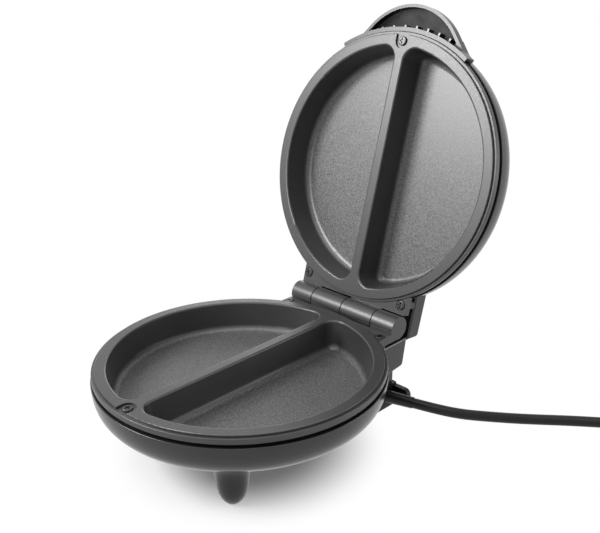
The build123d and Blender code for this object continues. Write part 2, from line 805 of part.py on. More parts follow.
with BuildPart() as foot_pads:
    with BuildSketch(Plane.XY.offset(-mating_height)):
        with Locations((-leg_x, leg_y), (leg_x, leg_y)):
            Circle(pad_radius)
        with Locations((-foot_pad_x, foot_middle), (foot_pad_x, foot_middle)):
            Rectangle(foot_pad_length, foot_pad_width)
    extrude(amount=pad_height + pad_recess)

with BuildPart() as hinge_pin:
    with BuildSketch(Plane.YZ.offset(-ear_half_width)):
        with Locations((hinge_y, 0)):
            Circle(hinge_pin_radius)
    extrude(amount=2 * ear_half_width - pin_cover)

with BuildPart() as sensor_brackets:
    with BuildSketch(Plane.XY.offset(-well_floor)):
        with Locations((0, thermostat_y), (0, fuse_y)):
            Rectangle(2 * bracket_half_length, bracket_width)
    extrude(amount=-bracket_thickness)

with BuildPart() as thermostat:
    with BuildSketch(Plane.XY.offset(-well_floor - bracket_thickness)):
        with Locations((0, thermostat_y)):
            Circle(thermostat_radius)
    extrude(amount=-thermostat_height)
    fillet(thermostat.edges().group_by(Axis.Z)[0], bracket_thickness)

fuse_z = -well_floor - bracket_thickness - fuse_radius
with BuildPart() as thermal_fuse:
    with BuildSketch(Plane.YZ.offset(-fuse_length / 2)):
        with Locations((fuse_y, fuse_z)):
            Circle(fuse_radius)
    extrude(amount=fuse_length)

with BuildPart() as base_wiring:
    add(heater_leads(outer_pole_x, base_box_top))
    block_bottom = -base_box_top - casing_wall - terminal_height
    core_start = gland_point - exit_direction * (relief_neck_length + relief_flange_thickness)
    core_route = (
        core_start,
        core_start - exit_direction * core_lead,
        (wire_hole_x - core_shift, neck_middle, core_drop - foot_top),
        (0, terminal_y, block_bottom - core_drop),
        (0, terminal_y, block_bottom),
    )
    add(swept_tube(core_route, core_radius, core_bend))
    fuse_to_thermostat = (
        (fuse_length / 2, fuse_y, fuse_z),
        (fuse_wire_x, fuse_y, fuse_z),
        (fuse_wire_x, thermostat_y, fuse_z),
        (thermostat_radius, thermostat_y, fuse_z),
    )
    add(swept_tube(fuse_to_thermostat, wire_radius, wire_bend))
    from_fuse = (
        (-fuse_length / 2, fuse_y, fuse_z),
        (-fuse_wire_x, fuse_y, fuse_z),
        (-fuse_wire_x, wires_rear_y, fuse_z),
    )
    add(lead_to_block(from_fuse, -1, inner_pole_x, base_box_top))
    from_thermostat = (
        (0, thermostat_y + thermostat_radius, fuse_z),
        (0, wires_rear_y - 2 * thermostat_wire_x, fuse_z),
        (thermostat_wire_x, wires_rear_y, fuse_z),
    )
    add(lead_to_block(from_thermostat, 1, inner_pole_x, base_box_top))


# ---------------------------------------------------------------- lid

handle_screw_turns = (-90 - handle_screw_turn, -90 + handle_screw_turn)
lamp_places = ((-lamp_spacing / 2, lamp_y), (lamp_spacing / 2, lamp_y))

with BuildPart() as cooling_fins:
    with BuildSketch(Plane.XY.offset(-casing_top)):
        with PolarLocations(0, fin_count, -90 - fin_pitch * (fin_count - 1) / 2, fin_pitch * fin_count):
            with Locations((plate_radius, 0)):
                Rectangle(2 * fin_reach, fin_thickness)
    extrude(amount=-fin_height)
    revolve(bowl_middle, axis=Axis.Z, mode=Mode.SUBTRACT)

with BuildPart() as lid_casing:
    add(casing_shell(lid_box_top, lid_box_bottom, 0))
    add(cooling_fins)
    for turn in handle_screw_turns:
        outward = Vector(1, 0, 0).rotate(Axis.Z, turn)
        seat = outward * handle_pad_seat - Vector(0, 0, handle_screw_drop)
        with BuildSketch(Plane(origin=seat, z_dir=outward)):
            Circle(handle_pad_radius)
        extrude(amount=handle_pad_length)
        with BuildSketch(Plane(origin=seat, z_dir=outward)):
            Circle(screw_radius + screw_hole_clearance)
        extrude(amount=handle_screw_length, mode=Mode.SUBTRACT)
    with BuildSketch(Plane.XY.offset(-casing_floor)):
        with Locations(*lamp_places):
            Circle(lens_radius + lens_clearance)
    extrude(amount=2 * casing_wall, mode=Mode.SUBTRACT)

lid_plate = cast_plate(ear_half_width)
lid_plate_screws = plate_screws()
lid_heater = heating_element()
lid_heater_clips = heater_clips()
lid_terminal_block = terminal_block(lid_box_top)

with BuildPart() as lid_reflector:
    add(heat_reflector())
    with BuildSketch(Plane.XY.offset(-floor_inside)):
        with Locations((0, lamp_bay_y - reflector_radius)):
            Rectangle(2 * lamp_bay_half_width, 2 * reflector_radius)
    extrude(amount=reflector_thickness, mode=Mode.SUBTRACT)

def visor_body(outline, edge, back):
    """Handle's shape: an upright wall, then a back that slopes in to a flat."""
    foot = outline.moved(Location((0, 0, -edge)))
    with BuildPart() as body:
        extrude(outline, amount=-edge)
        extrude(foot, amount=visor_rim + edge - back, taper=90 - visor_slope)
    return body


def ring_sector(inner, outer, first, last):
    """Part of a flat ring between two angles from the front."""
    with BuildSketch() as sector:
        Circle(outer)
        Circle(inner, mode=Mode.SUBTRACT)
        with BuildLine():
            reach = 2 * outer
            Polyline(
                (0, 0),
                (reach * sin(radians(first)), -reach * cos(radians(first))),
                (reach * sin(radians(last)), -reach * cos(radians(last))),
                close=True,
            )
        make_face(mode=Mode.INTERSECT)
    return sector.sketch


with BuildPart() as screw_lugs:
    extrude(visor_outside, amount=-visor_edge)
    with BuildSketch(Plane.XY.offset(-visor_rim)):
        for first, last in ((-collar_end, -lug_start), (lug_start, collar_end)):
            add(ring_sector(plate_radius, visor_reach, first, last))
    extrude(amount=-visor_edge, mode=Mode.INTERSECT)

with BuildPart() as lid_handle:
    add(visor_body(visor_outside, visor_edge, visor_back))
    wall_edges = level_edges(lid_handle, -visor_rim - visor_edge)
    fillet(wall_edges, visor_round)
    add(visor_body(visor_inside, hollow_edge, visor_back - visor_wall), mode=Mode.SUBTRACT)
    add(screw_lugs)

    # Collar along the plate's edge, deep at its ends where it joins the wall
    collar_radius = lug_inner_radius + collar_thickness
    with BuildSketch(Plane.XY.offset(-collar_top)):
        add(ring_sector(lug_inner_radius, collar_radius, -collar_end, collar_end))
    extrude(amount=collar_top + curved_seat_gap - casing_top)
    with BuildSketch(Plane.XY.offset(-collar_top)):
        for first, last in ((-collar_end, -lug_start), (lug_start, collar_end)):
            add(ring_sector(lug_inner_radius, collar_radius, first, last))
    extrude(amount=collar_top - visor_rim - visor_edge / 2)
    revolve(bowl_seat, axis=Axis.Z, mode=Mode.SUBTRACT)
    for turn in handle_screw_turns:
        outward = Vector(1, 0, 0).rotate(Axis.Z, turn)
        seat = outward * handle_pad_seat - Vector(0, 0, handle_screw_drop)
        with BuildSketch(Plane(origin=seat, z_dir=outward)):
            Circle(screw_radius + screw_hole_clearance)
        extrude(amount=handle_screw_length, mode=Mode.SUBTRACT)

with BuildPart() as handle_screws:
    for turn in handle_screw_turns:
        outward = Vector(1, 0, 0).rotate(Axis.Z, turn)
        seat = outward * handle_pad_seat - Vector(0, 0, handle_screw_drop)
        place = Plane(origin=seat, z_dir=-outward).location
        add(pan_head_screw(handle_screw_length).moved(place))


def indicator_lens(place):
    """Round lens that fills its hole in the lid's top and stands a little proud."""
    with BuildPart() as lens:
        with BuildSketch(Plane.XY.offset(-lens_inside)):
            with Locations(place):
                Circle(lens_radius)
        extrude(amount=lens_inside - casing_floor - lens_height)
        fillet(lens.edges().group_by(Axis.Z)[0], lens_height)
    return lens


power_lamp_lens = indicator_lens(lamp_places[0])
ready_lamp_lens = indicator_lens(lamp_places[1])

lamp_z = -lens_inside + lens_clearance + lamp_radius
with BuildPart() as indicator_lamps:
    for side in (-1, 1):
        start = Vector(side * (lamp_spacing / 2 - lamp_radius), lamp_y, lamp_z)
        with BuildSketch(Plane(origin=start, z_dir=(side, 0, 0))):
            Circle(lamp_radius)
        extrude(amount=lamp_length)

with BuildPart() as lid_wiring:
    add(heater_leads(inner_pole_x, lid_box_top))
    lamp_end = lamp_spacing / 2 - lamp_radius + lamp_length
    lamp_wire = under_wells(lamp_wire_route, wire_depth)
    for side in (-1, 1):
        round_the_wells = (
            (side * lamp_end, lamp_y, lamp_z),
            (side * lamp_wire_x, lamp_y, lamp_z),
            *((side * point.X, point.Y, point.Z) for point in lamp_wire),
        )
        add(lead_to_block(round_the_wells, side, outer_pole_x, lid_box_top))


# ---------------------------------------------------------------- mains cord
# Its points are measured from where it leaves the foot, or the coil, with heights above
# the table.

relief_tip = exit_point + exit_direction * relief_length
cord_low = cord_radius + floor_clearance
coil_low = cord_radius + tie_clearance + tie_thickness
cord_steps = (
    (53, 21.1, 9.6),
    (67, 36.6, 6.6),
    (85, 55.6, cord_low),
    (112, 78.6, cord_low),
    (142.5, 99.7, coil_low),
    (160.1, 112.9, coil_low),
)
cord_points = [
    relief_tip,
    relief_tip + exit_direction * cord_first_run,
    *(Vector(foot_half_width + x, exit_y + y, z) for x, y, z in cord_steps),
]

# The coil starts where the cord's last run points
coil_heading = (cord_points[-1] - cord_points[-2]).normalized()
coil_start = cord_points[-1] + coil_heading * 2 * cord_radius
coil_centre = coil_start + coil_heading.rotate(Axis.Z, -90) * coil_radius
coil_start_angle = degrees(atan2(coil_heading.Y, coil_heading.X)) + 90
coil_turns = 2 * coil_layer_turns + coil_climb_turns
climb_end = coil_layer_turns + coil_climb_turns
coil_top = coil_low + coil_pitch


def coil_turn_radius(turns):
    """Centre line's distance from the coil's middle: in, and out again."""
    waist = coil_turns / 2
    rise = abs(turns - waist) - coil_climb_turns / 2
    inner = coil_radius - coil_pitch * coil_layer_turns
    if rise < 0:
        return inner - coil_pitch * coil_climb_turns / 4
    return inner + coil_pitch * rise


def coil_height(turns):
    """Centre line's height: lower layer, climb, upper layer."""
    if turns <= coil_layer_turns:
        return coil_low
    if turns >= climb_end:
        return coil_top
    return (coil_low + coil_top) / 2


def coil_point(turns):
    angle = radians(coil_start_angle - 360 * turns)
    radius = coil_turn_radius(turns)
    return Vector(
        coil_centre.X + radius * cos(angle), coil_centre.Y + radius * sin(angle), coil_height(turns)
    )


def coil_direction(turns):
    """Direction of the centre line, level and square at both ends."""
    angle = radians(coil_start_angle - 360 * turns)
    around = Vector(sin(angle), -cos(angle), 0)
    outward = Vector(cos(angle), sin(angle), 0)
    middle = coil_turns / 2
    radial = 0
    if 0 < turns < coil_turns and turns != middle:
        radial = coil_pitch if turns > middle else -coil_pitch
    vertical = 2 * coil_pitch / coil_climb_turns if turns == middle else 0
    circumference = 2 * pi * coil_turn_radius(turns)
    return (around * circumference + outward * radial + Vector(0, 0, vertical)).normalized()


def biarc_join(start, start_direction, end, end_direction):
    """Point where two arcs meet that run from one place and direction to another."""
    chord = end - start
    both = start_direction + end_direction
    spread = 2 * (1 - start_direction.dot(end_direction))
    along = chord.dot(both)
    reach = (-along + sqrt(along ** 2 + spread * chord.dot(chord))) / spread
    return (start + start_direction * reach + end - end_direction * reach) / 2


def bend_radii(points):
    """At each corner, the arc that takes its share of the shorter run."""
    radii = []
    for before, corner, after in zip(points, points[1:], points[2:]):
        arriving = corner - before
        leaving = after - corner
        half_turn = radians(arriving.get_angle(leaving)) / 2
        radii.append(bend_share * min(arriving.length, leaving.length) / tan(half_turn))
    return radii


def cord_tube(points, name):
    """Plain tube along straight runs and tangent arcs, checked against its length."""
    radii = bend_radii(points)
    with BuildPart() as tube:
        with BuildLine():
            path = FilletPolyline(*points, radius=radii)
        with BuildSketch(Plane(origin=path @ 0, z_dir=path % 0)):
            Circle(cord_radius)
        sweep(path=path)
    section = pi * cord_radius ** 2
    print(name, "bend radii", [round(radius, 1) for radius in radii])
    print(name, "length", round(path.length, 1), "volume", round(tube.part.volume, 1))
    print(name, "section x length", round(section * path.length, 1))
    return tube


power_cord = cord_tube(cord_points, "power_cord")

with BuildPart() as cord_coil:
    with BuildLine() as coil_line:
        Line(cord_points[-1], coil_start)
        quarter_count = round(4 * coil_turns)
        for quarter in range(quarter_count):
            low, high = quarter / 4, (quarter + 1) / 4
            start, start_direction = coil_point(low), coil_direction(low)
            end, end_direction = coil_point(high), coil_direction(high)
            join = biarc_join(start, start_direction, end, end_direction)
            TangentArc(start, join, tangent=start_direction)
            TangentArc(join, end, tangent=-end_direction, tangent_from_first=False)
        coil_end = coil_point(coil_turns)
        tail_start = coil_end + coil_heading * 2 * cord_radius
        Line(coil_end, tail_start)
    with BuildSketch(Plane(origin=cord_points[-1], z_dir=coil_heading)):
        Circle(cord_radius)
    coil_path = coil_line.wires()[0]
    sweep(path=coil_path)

coil_length = coil_path.length
coil_samples = [
    coil_path.position_at(step / coil_sample_count) for step in range(coil_sample_count + 1)
]
near_steps = round(coil_sample_count * 4 * cord_radius / coil_length) + 1
coil_gap = min(
    (sample - other).length
    for index, sample in enumerate(coil_samples)
    for other in coil_samples[index + near_steps:]
) - 2 * cord_radius
print("cord_coil length", round(coil_length, 1), "volume", round(cord_coil.part.volume, 1))
print("cord_coil section x length", round(pi * cord_radius ** 2 * coil_length, 1))
print("cord_coil least gap to itself", round(coil_gap, 2))

plug_low = plug_radius + floor_clearance
tail_steps = (
    (34.7, 22.6, 15.6),
    (54.7, 24.1, plug_low),
    (72.7, 16.1, plug_low),
    (83.7, 1.1, plug_low),
)
tail_points = [
    tail_start,
    tail_start + coil_heading * tail_first_run,
    *(Vector(tail_start.X + x, tail_start.Y + y, z) for x, y, z in tail_steps),
]
cord_tail = cord_tube(tail_points, "cord_tail")
plug_direction = (tail_points[-1] - tail_points[-2]).normalized()
plug_root = tail_points[-1]

with BuildPart() as strain_relief:
    with BuildSketch(Plane(origin=exit_point, z_dir=exit_direction)):
        Circle(relief_base_radius)
    with BuildSketch(Plane(origin=relief_tip, z_dir=exit_direction)):
        Circle(relief_tip_radius)
    loft()
    with BuildSketch(Plane(origin=exit_point, z_dir=exit_direction)):
        Circle(relief_base_radius)
    extrude(amount=-relief_base_radius)
    split(bisect_by=Plane.YZ.offset(foot_half_width), keep=Keep.TOP)
    inner_end = exit_point - exit_direction * (relief_neck_length + relief_flange_thickness)
    with BuildSketch(Plane(origin=inner_end, z_dir=exit_direction)):
        Circle(relief_flange_radius)
    extrude(amount=relief_flange_thickness)
    with BuildSketch(Plane(origin=inner_end, z_dir=exit_direction)):
        Circle(relief_neck_radius)
    extrude(amount=relief_neck_length + relief_flange_thickness + relief_base_radius)

with BuildPart() as cord_tie:
    tie_angle = coil_start_angle - 360 * tie_turn
    tie_outward = Vector(1, 0, 0).rotate(Axis.Z, tie_angle)
    tie_far = coil_turn_radius(tie_turn) + cord_radius + tie_side_clearance
    tie_near = coil_turn_radius(tie_turn + 1) - cord_radius - tie_side_clearance
    tie_height = coil_top + cord_radius + tie_clearance
    tie_origin = Vector(coil_centre.X, coil_centre.Y, 0) + tie_outward * (tie_far + tie_near) / 2
    tie_plane = Plane(
        origin=tie_origin + Vector(0, 0, (tie_height + tie_thickness) / 2),
        x_dir=tie_outward,
        z_dir=tie_outward.cross(Vector(0, 0, 1)),
    )
    with BuildSketch(tie_plane):
        RectangleRounded(
            tie_far - tie_near + 2 * tie_thickness,
            tie_height + tie_thickness,
            cord_radius / 2 + tie_thickness,
        )
        RectangleRounded(
            tie_far - tie_near, tie_height - tie_thickness, cord_radius / 2, mode=Mode.SUBTRACT
        )
    extrude(amount=tie_width / 2, both=True)

with BuildPart() as plug_body:
    shoulder_start = plug_sleeve_length
    shoulder_end = plug_sleeve_length + plug_shoulder
    face = plug_sleeve_length + plug_body_length
    side_on = Plane(origin=plug_root, x_dir=plug_direction, z_dir=plug_direction.cross(Vector(0, 0, 1)))
    with BuildSketch(side_on):
        with BuildLine():
            Polyline((face, plug_radius), (face, 0), (0, 0), (0, plug_sleeve_radius))
            Line((0, plug_sleeve_radius), (shoulder_start, plug_tail_radius))
            Bezier(
                (shoulder_start, plug_tail_radius),
                (shoulder_start + plug_shoulder / 2, plug_tail_radius),
                (shoulder_end - plug_shoulder / 2, plug_radius),
                (shoulder_end, plug_radius),
            )
            Line((shoulder_end, plug_radius), (face, plug_radius))
        make_face()
    revolve(axis=Axis(plug_root, plug_direction))
    fillet(plug_body.edges().sort_by(Axis(plug_root, plug_direction))[-1], plug_edge_radius)

with BuildPart() as plug_pins:
    pin_side = plug_direction.cross(Vector(0, 0, 1))
    with BuildSketch(
        Plane(origin=plug_root + plug_direction * face, x_dir=pin_side, z_dir=plug_direction)
    ):
        with GridLocations(plug_pin_spacing, 0, 2, 1):
            Circle(plug_pin_radius)
    extrude(amount=plug_pin_length)
    pin_ends = plug_pins.faces().group_by(Axis(plug_root, plug_direction))[-1]
    fillet(pin_ends.edges(), plug_pin_tip)


# ---------------------------------------------------------------- places and files

base_place = Location((0, plate_centre_y, mating_height))
to_hinge = Location((0, hinge_y, 0), (-open_angle, 0, 0)) * Location((0, -hinge_y, 0), (0, 180, 0))
lid_place = base_place * to_hinge
cord_place = Location((0, plate_centre_y, 0))

base_pieces = {
    "base_casing": base_casing,
    "base_plate": base_plate,
    "base_plate_screws": base_plate_screws,
    "base_heater": base_heater,
    "base_heater_clips": base_heater_clips,
    "base_reflector": base_reflector,
    "thermostat": thermostat,
    "thermal_fuse": thermal_fuse,
    "sensor_brackets": sensor_brackets,
    "base_terminal_block": base_terminal_block,
    "base_wiring": base_wiring,
    "front_leg_left": front_leg_left,
    "front_leg_right": front_leg_right,
    "leg_screws": leg_screws,
    "rear_foot": rear_foot,
    "rear_foot_screws": rear_foot_screws,
    "foot_pads": foot_pads,
    "hinge_pin": hinge_pin,
}
lid_pieces = {
    "lid_casing": lid_casing,
    "lid_plate": lid_plate,
    "lid_plate_screws": lid_plate_screws,
    "lid_heater": lid_heater,
    "lid_heater_clips": lid_heater_clips,
    "lid_reflector": lid_reflector,
    "lid_handle": lid_handle,
    "handle_screws": handle_screws,
    "power_lamp_lens": power_lamp_lens,
    "ready_lamp_lens": ready_lamp_lens,
    "indicator_lamps": indicator_lamps,
    "lid_terminal_block": lid_terminal_block,
    "lid_wiring": lid_wiring,
}
cord_pieces = {
    "strain_relief": strain_relief,
    "power_cord": power_cord,
    "cord_coil": cord_coil,
    "cord_tail": cord_tail,
    "cord_tie": cord_tie,
    "plug_body": plug_body,
    "plug_pins": plug_pins,
}
for pieces, place in ((base_pieces, base_place), (lid_pieces, lid_place), (cord_pieces, cord_place)):
    for name, piece in pieces.items():
        piece.part.label = name
        piece.part.locate(place)
        export_step(piece.part, f"parts/{name}.step")
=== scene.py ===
import json
import math

import bpy
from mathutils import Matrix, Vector


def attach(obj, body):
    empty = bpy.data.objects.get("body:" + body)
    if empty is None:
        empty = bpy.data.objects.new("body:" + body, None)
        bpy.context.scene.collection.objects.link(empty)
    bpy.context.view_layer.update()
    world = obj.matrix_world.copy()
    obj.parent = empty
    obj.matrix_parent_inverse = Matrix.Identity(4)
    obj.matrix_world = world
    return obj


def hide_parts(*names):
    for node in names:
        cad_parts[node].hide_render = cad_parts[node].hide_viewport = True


# Electric omelette maker with its lid open, on a pale floor in soft studio light.
# Metres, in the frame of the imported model: +Z up, +Y towards the hinge.

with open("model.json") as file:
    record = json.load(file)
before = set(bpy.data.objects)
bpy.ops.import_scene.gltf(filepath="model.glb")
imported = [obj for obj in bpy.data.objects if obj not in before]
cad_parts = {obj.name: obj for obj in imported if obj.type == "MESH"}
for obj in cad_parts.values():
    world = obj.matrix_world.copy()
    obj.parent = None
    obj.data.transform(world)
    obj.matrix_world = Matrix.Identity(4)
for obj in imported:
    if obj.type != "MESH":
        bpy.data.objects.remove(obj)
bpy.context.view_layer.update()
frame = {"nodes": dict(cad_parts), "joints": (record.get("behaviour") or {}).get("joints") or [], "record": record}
nodes = frame["nodes"]
scene = bpy.context.scene

MM = 0.001
HINGE_REACH = 0.1094        # from the base plate's centre back to the hinge's axis

lid_hinge = frame["joints"][0]
HINGE = Vector(lid_hinge["pos_m"])          # at the height where the two plates meet
OPEN_ANGLE = math.radians(lid_hinge["range_deg"][1])
PLATE_CENTRE = Vector((HINGE.x, HINGE.y - HINGE_REACH, 0))      # brought down to the table
BASE_NORMAL = (0, 0, 1)
LID_NORMAL = (0, -math.sin(OPEN_ANGLE), -math.cos(OPEN_ANGLE))  # out of the open lid's face


# ---------------------------------------------------------------- camera

CAMERA_AZIMUTH = math.radians(44.124)
CAMERA_ELEVATION = math.radians(21.685)
CAMERA_PLACE = Vector((0.39824, -0.35252, 0.34373))     # from the plate's centre
SENSOR_WIDTH = 36           # millimetres, like the lens
LENS = 52.415


def add_camera():
    """The photograph's view: from the front right, a little above the plate."""
    backward = Vector((
        math.sin(CAMERA_AZIMUTH) * math.cos(CAMERA_ELEVATION),
        -math.cos(CAMERA_AZIMUTH) * math.cos(CAMERA_ELEVATION),
        math.sin(CAMERA_ELEVATION),
    ))
    data = bpy.data.cameras.new("camera")
    data.sensor_fit = "HORIZONTAL"
    data.sensor_width = SENSOR_WIDTH
    data.lens = LENS
    camera = bpy.data.objects.new("camera", data)
    scene.collection.objects.link(camera)
    camera.location = PLATE_CENTRE + CAMERA_PLACE
    camera.rotation_mode = "QUATERNION"
    camera.rotation_quaternion = backward.to_track_quat("Z", "Y")
    scene.camera = camera


add_camera()


# ---------------------------------------------------------------- cord
# Its points are millimetres from the plate's centre, with heights above the table.

CORD_DIAMETER = 0.0076      # metres, like the length
EXIT = Vector((46, 102.4, 12.5))
EXIT_YAW = math.radians(15)
RELIEF_LENGTH = 22
FIRST_RUN = 17.3            # straight stretch behind the strain relief
CORD_LOW = 3.9              # height of the cord's middle where it lies on the table
COIL_LOW = 4.9              # and in the coil's lower layer
COIL_RADIUS = 46.2          # of the outermost turn
COIL_PITCH = 8.4            # from one turn to the next, and from layer to layer
COIL_LAYER_TURNS = 1.25
COIL_CLIMB_TURNS = 0.5
COIL_TURNS = 2 * COIL_LAYER_TURNS + COIL_CLIMB_TURNS
STEPS_PER_TURN = 16
TAIL_RUN = 19               # straight stretch behind the coil
PLUG_LOW = 18.5             # height of the plug's middle
ROUND_STEPS = 8             # how finely the curve is drawn round the tube
RUN_STEPS = 12              # and along it


def coil_points(start, heading):
    """Control points of the coil: in along the lower layer, out along the upper one."""
    centre = start + Vector((heading.y, -heading.x, 0)) * COIL_RADIUS
    start_angle = math.atan2(heading.y, heading.x) + math.pi / 2
    step = 2 * math.pi / STEPS_PER_TURN
    outset = 2 / (1 + math.cos(step / 2))       # the curve runs inside its control points
    inner = COIL_RADIUS - COIL_PITCH * COIL_LAYER_TURNS
    points = []
    for index in range(1, round(COIL_TURNS * STEPS_PER_TURN)):
        turns = index / STEPS_PER_TURN
        from_climb = abs(turns - COIL_TURNS / 2) - COIL_CLIMB_TURNS / 2
        radius = inner + COIL_PITCH * max(from_climb, -COIL_CLIMB_TURNS / 4)
        climb = (turns - COIL_LAYER_TURNS) / COIL_CLIMB_TURNS
        climb = min(max(climb, 0), 1)
        height = COIL_LOW + COIL_PITCH * climb * climb * (3 - 2 * climb)
        angle = start_angle - 2 * math.pi * turns
        out = Vector((math.cos(angle), math.sin(angle), 0)) * radius * outset
        points.append(Vector((centre.x, centre.y, height)) + out)
    return points


def cord_route():
    """The cord's control points from the strain relief to the plug, in metres."""
    leave = Vector((math.cos(EXIT_YAW), math.sin(EXIT_YAW), 0))
    tip = EXIT + leave * RELIEF_LENGTH
    table = [
        tip,
        tip + leave * FIRST_RUN,
        Vector((99, 123.5, 9.6)),
        Vector((113, 139, 6.6)),
        Vector((131, 158, CORD_LOW)),
        Vector((158, 181, CORD_LOW)),
        Vector((188.5, 202.1, COIL_LOW)),
        Vector((206.1, 215.3, COIL_LOW)),
    ]
    heading = (table[-1] - table[-2]).normalized()
    one_diameter = heading * CORD_DIAMETER / MM
    coil_start = table[-1] + one_diameter
    coil_end = coil_start + Vector((0, 0, COIL_PITCH))
    tail_start = coil_end + one_diameter
    tail = [
        tail_start,
        tail_start + heading * TAIL_RUN,
        Vector((253, 247, 15.6)),
        Vector((273, 248.5, PLUG_LOW)),
        Vector((291, 240.5, PLUG_LOW)),
        Vector((302, 225.5, PLUG_LOW)),
    ]
    route = table + [coil_start] + coil_points(coil_start, heading) + [coil_end] + tail
    return [PLATE_CENTRE + point * MM for point in route]


def add_cord():
    """One smooth curve for the whole cord, in place of its three CAD tubes."""
    route = cord_route()
    data = bpy.data.curves.new("mains_cord", "CURVE")
    data.dimensions = "3D"
    data.bevel_depth = 1        # the tube's radius is this times each point's own
    data.bevel_resolution = ROUND_STEPS
    data.resolution_u = RUN_STEPS
    data.use_fill_caps = True
    spline = data.splines.new("NURBS")
    spline.points.add(len(route) - 1)
    for point, place in zip(spline.points, route):
        point.co = (*place, 1)
        point.radius = CORD_DIAMETER / 2
    spline.order_u = 3
    spline.use_endpoint_u = True
    cord = bpy.data.objects.new("mains_cord", data)
    scene.collection.objects.link(cord)
    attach(cord, "base")
    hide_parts("power_cord", "cord_coil", "cord_tail")
    return cord


mains_cord = add_cord()


# ---------------------------------------------------------------- node helpers

NOISE_LOW, NOISE_HIGH = 0.3, 0.7        # most values of a noise texture lie between these


def new_material(name):
    material = bpy.data.materials.new(name)
    material.use_nodes = True
    tree = material.node_tree
    return material, tree, tree.nodes["Principled BSDF"]


def coordinates(tree, kind):
    """Texture coordinates that stay with the piece when its body moves."""
    return tree.nodes.new("ShaderNodeTexCoord").outputs[kind]


def noise(tree, size, detail=2.0):
    """Noise whose features are about this many metres across."""
    texture = tree.nodes.new("ShaderNodeTexNoise")
    texture.inputs["Scale"].default_value = 1 / size
    texture.inputs["Detail"].default_value = detail
    tree.links.new(coordinates(tree, "Object"), texture.inputs["Vector"])
    return texture.outputs["Fac"]


def spread(tree, value, low, high, start=NOISE_LOW, end=NOISE_HIGH, kind="LINEAR"):
    """Maps a value that runs from start to end to one from low to high."""
    scale = tree.nodes.new("ShaderNodeMapRange")
    scale.interpolation_type = kind
    scale.inputs["From Min"].default_value = start
    scale.inputs["From Max"].default_value = end
    scale.inputs["To Min"].default_value = low
    scale.inputs["To Max"].default_value = high
    tree.links.new(value, scale.inputs["Value"])
    return scale.outputs["Result"]


def two_colours(tree, value, low, high, start=NOISE_LOW, end=NOISE_HIGH):
    """Blends two fixed colours by a noise value."""
    ramp = tree.nodes.new("ShaderNodeValToRGB")
    ramp.color_ramp.elements[0].position = start
    ramp.color_ramp.elements[1].position = end
    ramp.color_ramp.elements[0].color = (*low, 1)
    ramp.color_ramp.elements[1].color = (*high, 1)
    tree.links.new(value, ramp.inputs["Fac"])
    return ramp.outputs["Color"]


def mixed_colour(tree, share, first, second):
    """The first colour where the share is 0, the second where it is 1."""
    mix = tree.nodes.new("ShaderNodeMix")
    mix.data_type = "RGBA"
    from_colour, to_colour = [socket for socket in mix.inputs if socket.type == "RGBA"]
    tree.links.new(share, mix.inputs["Factor"])
    tree.links.new(first, from_colour)
    tree.links.new(second, to_colour)
    return [socket for socket in mix.outputs if socket.type == "RGBA"][0]


def mixed_shader(tree, share, first, second):
    """The first shader where the share is 0, the second where it is 1."""
    mix = tree.nodes.new("ShaderNodeMixShader")
    tree.links.new(share, mix.inputs[0])
    tree.links.new(first, mix.inputs[1])
    tree.links.new(second, mix.inputs[2])
    return mix.outputs[0]


def combined(tree, operation, first, second):
    """One number from two, such as their product or the larger one."""
    node = tree.nodes.new("ShaderNodeMath")
    node.operation = operation
    tree.links.new(first, node.inputs[0])
    tree.links.new(second, node.inputs[1])
    return node.outputs["Value"]


def with_vector(tree, operation, vector, fixed, output):
    """Vector operation between a socket and a fixed vector."""
    node = tree.nodes.new("ShaderNodeVectorMath")
    node.operation = operation
    node.inputs[1].default_value = fixed
    tree.links.new(vector, node.inputs[0])
    return node.outputs[output]


def depth_mask(tree, normal, start, end):
    """Rises from 0 to 1 between two depths below the plane where the plates meet."""
    offset = with_vector(tree, "SUBTRACT", coordinates(tree, "Object"), HINGE, "Vector")
    height = with_vector(tree, "DOT_PRODUCT", offset, normal, "Value")
    return spread(tree, height, 0, 1, -start, -end)


def bump(tree, shader, value, relief):
    """Raises the surface by up to this many metres."""
    raised = tree.nodes.new("ShaderNodeBump")
    raised.inputs["Strength"].default_value = 1
    raised.inputs["Distance"].default_value = relief
    tree.links.new(value, raised.inputs["Height"])
    tree.links.new(raised.outputs["Normal"], shader.inputs["Normal"])


# ---------------------------------------------------------------- materials

BLOTCH = 0.03               # size of the slow change of colour on every surface
UNEVEN_GLOSS = 0.15         # share by which a surface's roughness varies
POLISHED, SMOOTH, MATT, COARSE = 2e-6, 4e-6, 1e-5, 2e-5     # heights of the grain

WELL_LIGHT_START, WELL_LIGHT_FULL = 0.0185, 0.0216      # depths where the wells' floors begin, painted paler as painted light
SPECKLE_LOW, SPECKLE_HIGH = 0.38, 0.66      # noise values of the speckle's two greys
HOLLOW_REFLECTION_START, HOLLOW_REFLECTION_FULL = 0.0095, 0.0115  # depths where the painted reflection on the finger hollow's floor begins
FACING_START, FACING_FULL = 0.6, 0.9        # cosines to the lid's normal where that painted reflection fades in
BLUE_TOUCH = 1.02


def grey(level):
    """Neutral colour with a touch of blue."""
    return (level, level, level * BLUE_TOUCH)


def finish_of(name, low, high, roughness, grain, relief, metallic=0.0, ior=1.5):
    """Moulded or metal surface: slow colour change, uneven gloss and fine grain."""
    material, tree, shader = new_material(name)
    fine = noise(tree, size=grain, detail=4.0)
    colour = two_colours(tree, noise(tree, BLOTCH), low, high)
    duller, glossier = roughness * (1 + UNEVEN_GLOSS), roughness * (1 - UNEVEN_GLOSS)
    tree.links.new(colour, shader.inputs["Base Color"])
    tree.links.new(spread(tree, fine, glossier, duller), shader.inputs["Roughness"])
    bump(tree, shader, fine, relief)
    shader.inputs["Metallic"].default_value = metallic
    shader.inputs["IOR"].default_value = ior
    return material


